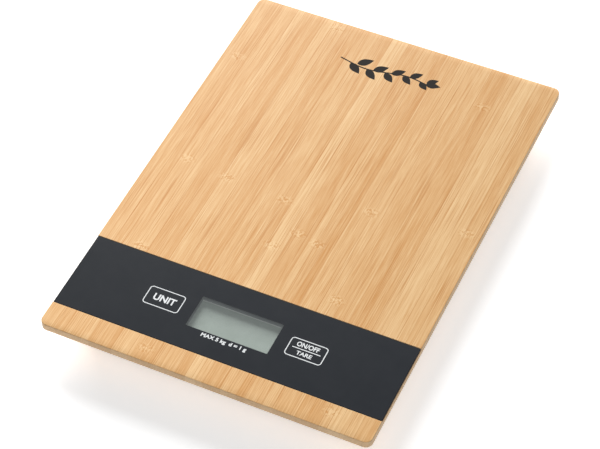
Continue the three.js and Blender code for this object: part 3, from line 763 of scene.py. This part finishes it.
cap_low, cap_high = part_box("filter_capacitor")
cap_centre = middle("filter_capacitor")
cap_material, place = new_material("capacitor_case")
cap_y = place.node("SeparateXYZ", None, {0: place}, out=1) * 1000
polarity = cap_y > (cap_high.y * 1000 - 1.5)
surface(place, {"Base Color": (polarity * 0.9).tint(colour(196, 142, 44), colour(96, 54, 20)),
                "Roughness": place.noise(900, 2) * 0.1 + 0.35}, place.noise(1200, 2), 0.003 * MM)
cap_size = (cap_high.x - cap_low.x, cap_high.y - cap_low.y)
settle(eased_plate("capacitor_body", cap_size, 0.3 * MM, cap_low.z, cap_high.z, 0.25 * MM,
                   cap_centre, 3), cap_material, node="filter_capacitor")

# Solder joints, under the four legs of each switch and the two of the capacitor.
solder_under = [(x + sx * 3.2 * MM, y + sy * 2.2 * MM)
                for x, y in (middle("unit_switch_housing"), middle("tare_switch_housing"))
                for sx in (-1, 1) for sy in (-1, 1)]
solder_under += [(cap_centre[0], cap_centre[1] + side * 2.6 * MM) for side in (-1, 1)]
solder_shape = bmesh.new()
for x, y in solder_under:
    loops = [[(x + r * math.cos(math.pi * i / 8), y + r * math.sin(math.pi * i / 8), circuit_under - h)
              for i in range(16)] for r, h in ((0.95 * MM, 0), (0.80 * MM, 0.18 * MM), (0.45 * MM, 0.42 * MM),
                                              (0.22 * MM, 0.80 * MM))]
    loft(solder_shape, loops)
settle(as_piece("solder_joints", solder_shape), tinned)


# The keys: under each mark a grey plunger stands in its well on a small push switch. The switch is a black
# housing under a pressed tin cover, with a red stem that the plunger pushes down.
key_grey = moulded("key_grey", colour(150, 153, 156), 0.5)
switch_black = moulded("switch_black", colour(30, 30, 31), 0.45, 1800, 0.003)
stem_red = moulded("stem_red", colour(150, 42, 32), 0.4, 1800, 0.002)
KEY_FOOT_RADIUS = 2.4 * MM
KEY_FOOT_HEIGHT = 1.2 * MM
SWITCH_COVER = (5.9 * MM, 5.9 * MM)
for key in ("unit", "tare"):
    centre = middle(f"{key}_key")
    low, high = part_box(f"{key}_key")
    stem_low, stem_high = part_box(f"{key}_switch_stem")
    radius = (high.x - low.x) / 2
    shoulder = low.z + KEY_FOOT_HEIGHT
    key_profile = [(0, low.z), (KEY_FOOT_RADIUS, low.z), (KEY_FOOT_RADIUS, shoulder), (radius, shoulder),
                   (radius, high.z), (0, high.z)]
    settle(turned(f"{key}_plunger", key_profile, centre, 64, 0.3 * MM), key_grey,
           f"{key}_button", f"{key}_key")
    stem_radius = (stem_high.x - stem_low.x) / 2
    stem_profile = [(0, stem_low.z), (stem_radius, stem_low.z), (stem_radius, stem_high.z), (0, stem_high.z)]
    settle(turned(f"{key}_stem", stem_profile, centre, 48, 0.2 * MM), stem_red,
           f"{key}_button", f"{key}_switch_stem")
    dress(f"{key}_switch_housing", switch_black, 0.1)
    housing_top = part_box(f"{key}_switch_housing")[1].z
    cover = eased_plate(f"{key}_switch_cover", SWITCH_COVER, 0.3 * MM, housing_top + 0.01 * MM,
                        housing_top + 0.16 * MM, 0.03 * MM, centre, 3)
    hole = prism("hole", round_outline(stem_radius + 0.25 * MM, centre), housing_top - MM, housing_top + MM)
    settle(cut(cover, [hole]), tinned)


# The screws: zinc-plated, cross-headed and self-tapping, with a coarse thread. The six in the shell run up
# into the board, and the two in the circuit board into the display carrier.
zinc = worked_metal("zinc_plate", colour(188, 191, 194), 0.32, (1, 1, 1), 1100)


def screw(node, head_height, shank, pitch, cross):
    """A cross-headed screw, head down. Its thread is a row of rings, pitch apart."""
    low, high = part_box(node)
    centre = middle(node)
    head = (high.x - low.x) / 2
    bearing = low.z + head_height
    crown = [(0, low.z), (head * 0.55, low.z), (head * 0.84, low.z + 0.14 * head_height),
             (head, low.z + 0.5 * head_height), (head, bearing), (shank, bearing)]
    root = shank * 0.78
    z = bearing + 0.3 * MM
    thread = [(shank, z)]
    while z + pitch < high.z - 0.7 * MM:
        thread += [(root, z + 0.18 * pitch), (root, z + 0.62 * pitch), (shank, z + 0.82 * pitch),
                   (shank, z + 0.94 * pitch)]
        z += pitch
    point = [(root, high.z - 0.6 * MM), (0.12 * MM, high.z), (0, high.z)]
    piece = turned(node + "_turned", crown + thread + point, centre, 36)
    arms = []
    for size in ((cross, 0.2 * cross), (0.2 * cross, cross)):
        shape = bmesh.new()
        loft(shape, [[(x, y, z) for x, y in box_outline((size[0] * grow, size[1] * grow), centre)]
                     for z, grow in ((low.z - 0.1 * MM, 1.05), (low.z + 0.62 * head_height, 0.72))])
        arms.append(as_piece("arm", shape))
    settle(cut(piece, arms), zinc, node=node)


for i in range(1, 7):
    screw(f"shell_screw_{i}", 1.6 * MM, 1.25 * MM, 0.62 * MM, 2.7 * MM)
for i in (1, 2):
    screw(f"circuit_screw_{i}", 1.3 * MM, 0.95 * MM, 0.5 * MM, 2.3 * MM)


# The shell: a tray moulded in fine-textured black ABS, screwed to the board's underside, with a pod round
# each foot. The battery door is moulded in the same plastic.
black_abs = moulded("black_abs", colour(44, 45, 47), 0.5)
dress("bottom_shell", black_abs, 0.15)
dress("battery_door", black_abs, 0.12)


# The coin cell and its contacts: a nickel-plated can, its wide face down with a plus stamped in it, and two
# strips of nickel-plated spring steel that lead up through the bay's roof.
nickel = worked_metal("nickel_plate", colour(206, 203, 196), 0.24, (1, 6, 1), 700)
cell_low, cell_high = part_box("coin_cell")
cell_centre = middle("coin_cell")
can = (cell_high.x - cell_low.x) / 2
cell_profile = [(0, cell_low.z), (can - 0.9 * MM, cell_low.z), (can, cell_low.z),
                (can, cell_high.z - 0.45 * MM),
                (can - 0.9 * MM, cell_high.z - 0.30 * MM), (can - 1.0 * MM, cell_high.z - 0.42 * MM),
                (can - 1.2 * MM, cell_high.z - 0.42 * MM), (can - 1.3 * MM, cell_high.z - 0.05 * MM),
                (can - 1.7 * MM, cell_high.z), (0, cell_high.z)]
cell = turned("coin_cell_can", cell_profile, cell_centre, 96, 0.12 * MM)
plus = [prism("plus", box_outline(size, (cell_centre[0], cell_centre[1] + 5.5 * MM)), cell_low.z - MM,
              cell_low.z + 0.05 * MM) for size in ((3.2 * MM, 0.7 * MM), (0.7 * MM, 3.2 * MM))]
settle(cut(cell, plus), nickel, node="coin_cell")
for node in ("negative_contact", "positive_contact"):
    dress(node, nickel, 0.05)


# The feet. Each is a ribbed rubber pad glued in a black cup, whose boss presses on the tongue of a stamped
# load cell. A grey ring clamps the cell's rim, and white sealant covers the strain gauge on its tongue.
pad_rubber, place = new_material("pad_rubber")
dust = place.noise(300, 4).step(0.45, 0.8)
surface(place, {"Base Color": (dust * 0.35).tint(colour(44, 44, 45), colour(92, 91, 88)),
                "Roughness": dust * 0.1 + 0.78}, place.noise(2200, 2), 0.01 * MM)
cup_black = moulded("cup_black", colour(38, 39, 41), 0.48)
ring_grey = moulded("ring_grey", colour(112, 115, 118), 0.55)
cell_steel = worked_metal("load_cell_steel", colour(176, 179, 182), 0.34, (1, 12, 1), 240)
sealant = moulded("gauge_sealant", colour(238, 236, 230), 0.5, 700, 0.02)
PAD_RADIUS = 8 * MM
PAD_GROOVES = (1.2, 2.6, 4.0, 5.4)
GROOVE_DEPTH = 0.25 * MM
CUP_BORE = 8.3 * MM
CUP_RADIUS = 9.4 * MM
BOSS_RADIUS = 2.5 * MM
CELL_RADIUS = 10.7 * MM
GAUGE_X = 4 * MM


def bend(piece, material, turn, node=None):
    """A piece on a load cell's tongue: turned into place at its foot and given its material, its node hidden.
    """
    piece.data.transform(turn)
    piece.data.materials.append(material)
    if node:
        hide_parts(node)
    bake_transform(piece)


for foot in ("front_left", "front_right", "rear_left", "rear_right"):
    centre = middle(f"foot_pad_{foot}")
    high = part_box(f"foot_pad_{foot}")[1]
    pad_profile = [(0, GROOVE_DEPTH)]
    for groove in PAD_GROOVES:
        pad_profile += [(groove * MM, GROOVE_DEPTH), ((groove + 0.15) * MM, 0), ((groove + 0.95) * MM, 0),
                        ((groove + 1.1) * MM, GROOVE_DEPTH)]
    pad_profile += [(6.75 * MM, GROOVE_DEPTH), (6.9 * MM, 0), (PAD_RADIUS - 0.5 * MM, 0),
                    (PAD_RADIUS - 0.1 * MM, 0.3 * MM), (PAD_RADIUS, 0.7 * MM), (PAD_RADIUS, high.z),
                    (0, high.z)]
    settle(turned(f"foot_pad_{foot}_turned", pad_profile, centre, 72), pad_rubber,
           f"foot_{foot}", f"foot_pad_{foot}")
    cup_low, cup_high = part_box(f"foot_cup_{foot}")
    pocket = high.z + 0.02 * MM
    flange = 4.9 * MM
    cup_profile = [(0, pocket), (CUP_BORE, pocket), (CUP_BORE, cup_low.z), (CUP_RADIUS, cup_low.z),
                   (CUP_RADIUS, flange), (CELL_RADIUS, flange), (CELL_RADIUS, flange + MM),
                   (BOSS_RADIUS, flange + MM), (BOSS_RADIUS, cup_high.z), (0, cup_high.z)]
    settle(turned(f"foot_cup_{foot}_turned", cup_profile, centre, 96, 0.3 * MM), cup_black,
           f"foot_{foot}", f"foot_cup_{foot}")
    inward = math.atan2(-math.copysign(1, centre[1]), -math.copysign(1, centre[0]))
    turn = Matrix.Translation((*centre, 0)) @ Matrix.Rotation(inward, 4, "Z")
    steel_low, steel_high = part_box(f"load_cell_{foot}")
    rim_profile = [(0, steel_low.z), (CELL_RADIUS, steel_low.z), (CELL_RADIUS, steel_high.z),
                   (0, steel_high.z)]
    rim = turned(f"load_cell_{foot}_rim", rim_profile, (0, 0), 72, 0.12 * MM)
    slot_cutter = prism("slot", box_outline((11.6 * MM, 8.8 * MM), (-0.3 * MM, 0)),
                        steel_low.z - MM, steel_high.z + MM)
    cut(rim, [slot_cutter]).data.transform(turn)
    settle(rim, cell_steel, node=f"load_cell_{foot}")
    tongue_shape = bmesh.new()
    ease, side = 0.1 * MM, 3.2 * MM
    section = [(-side, steel_low.z + ease), (-side + ease, steel_low.z), (side - ease, steel_low.z),
               (side, steel_low.z + ease), (side, steel_high.z - ease), (side - ease, steel_high.z),
               (-side + ease, steel_high.z), (-side, steel_high.z - ease)]
    loft(tongue_shape, [[(x / 2 * MM, y, z) for y, z in section] for x in [-9.8] + list(range(-9, 12))])
    bend(as_piece(f"load_cell_{foot}_tongue", tongue_shape), cell_steel, turn)
    dress(f"clamp_ring_{foot}", ring_grey, 0.15)
    gauge_low, gauge_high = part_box(f"strain_gauge_{foot}")
    rise = gauge_high.z - gauge_low.z
    blob = [(0, 0), (2.0 * MM, 0), (1.98 * MM, 0.25 * rise), (1.8 * MM, 0.55 * rise),
            (1.35 * MM, 0.82 * rise), (0.7 * MM, 0.97 * rise), (0, rise)]
    blob_piece = turned(f"strain_gauge_{foot}_blob", blob, (GAUGE_X, 0), 40, 0.1 * MM, gauge_low.z)
    bend(blob_piece, sealant, turn, f"strain_gauge_{foot}")


# The leads: each load cell's wires run to the circuit board in one soft grey sleeve, and a red and a black
# wire come from the battery contacts.
def catmull(points, steps):
    """A smooth curve through points, with steps between each pair."""
    padded = [points[0] * 2 - points[1]] + points + [points[-1] * 2 - points[-2]]
    curve = []
    for a, b, c, d in zip(padded, padded[1:], padded[2:], padded[3:]):
        for i in range(steps):
            t = i / steps
            curve.append(0.5 * (2 * b + (c - a) * t + (2 * a - 5 * b + 4 * c - d) * t ** 2
                                + (3 * b - a - 3 * c + d) * t ** 3))
    return curve + [points[-1]]


def tube(name, points, radius, sides=14, steps=8):
    curve = catmull([Vector(point) * MM for point in points], steps)
    shape = bmesh.new()
    loops = []
    for i, point in enumerate(curve):
        along = (curve[min(i + 1, len(curve) - 1)] - curve[max(i - 1, 0)]).normalized()
        across = along.cross(Vector((0, 0, 1))).normalized() if abs(along.z) < 0.95 else Vector((1, 0, 0))
        rise = across.cross(along).normalized()
        loops.append([point + radius * (math.cos(2 * math.pi * k / sides) * across
                                        + math.sin(2 * math.pi * k / sides) * rise) for k in range(sides)])
    loft(shape, loops)
    return as_piece(name, shape)


LEAD_ROUTES = {
    "front": [(52.3, -84.3, 9.7), (49, -81, 9.7), (46, -77.5, 9.3), (42, -74, 9), (38.5, -72, 8.8)],
    "rear": [(52.3, 84.3, 9.7), (47, 79, 9.7), (42, 70, 9.2), (40.5, 45, 9), (40.5, 0, 9), (40.5, -35, 9),
             (37, -50, 9.1), (31, -58, 9), (29, -63, 8.8)],
}
BATTERY_LEADS = {
    "negative": [(9, -22.9, 10.9), (8.5, -28, 11), (9, -40, 10.8), (10, -52, 9.8), (10.5, -62.5, 8.4)],
    "positive": [(-10.35, -23.9, 10.9), (-10, -29, 11), (-9.5, -40, 10.8), (-9, -52, 9.8),
                 (-8.5, -62.5, 8.4)],
}
sleeve = moulded("lead_sleeve", colour(62, 63, 66), 0.5, 1000, 0.004)
wire_finishes = {"negative": (moulded("black_wire", colour(26, 26, 27), 0.4, 1500, 0.002), "black_wire"),
                 "positive": (moulded("red_wire", colour(172, 38, 32), 0.4, 1500, 0.002), "red_wire")}
for end, points in LEAD_ROUTES.items():
    for side, mirror in (("left", -1), ("right", 1)):
        node = f"load_cell_lead_{end}_{side}"
        mirrored = [(mirror * x, y, z) for x, y, z in points]
        settle(tube(node + "_sleeve", mirrored, 1.0 * MM), sleeve, node=node)
for pole, points in BATTERY_LEADS.items():
    finish, finish_slot = wire_finishes[pole]
    node = f"battery_lead_{pole}"
    settle(tube(node + "_wire", points, 0.6 * MM, 12), finish, node=node)
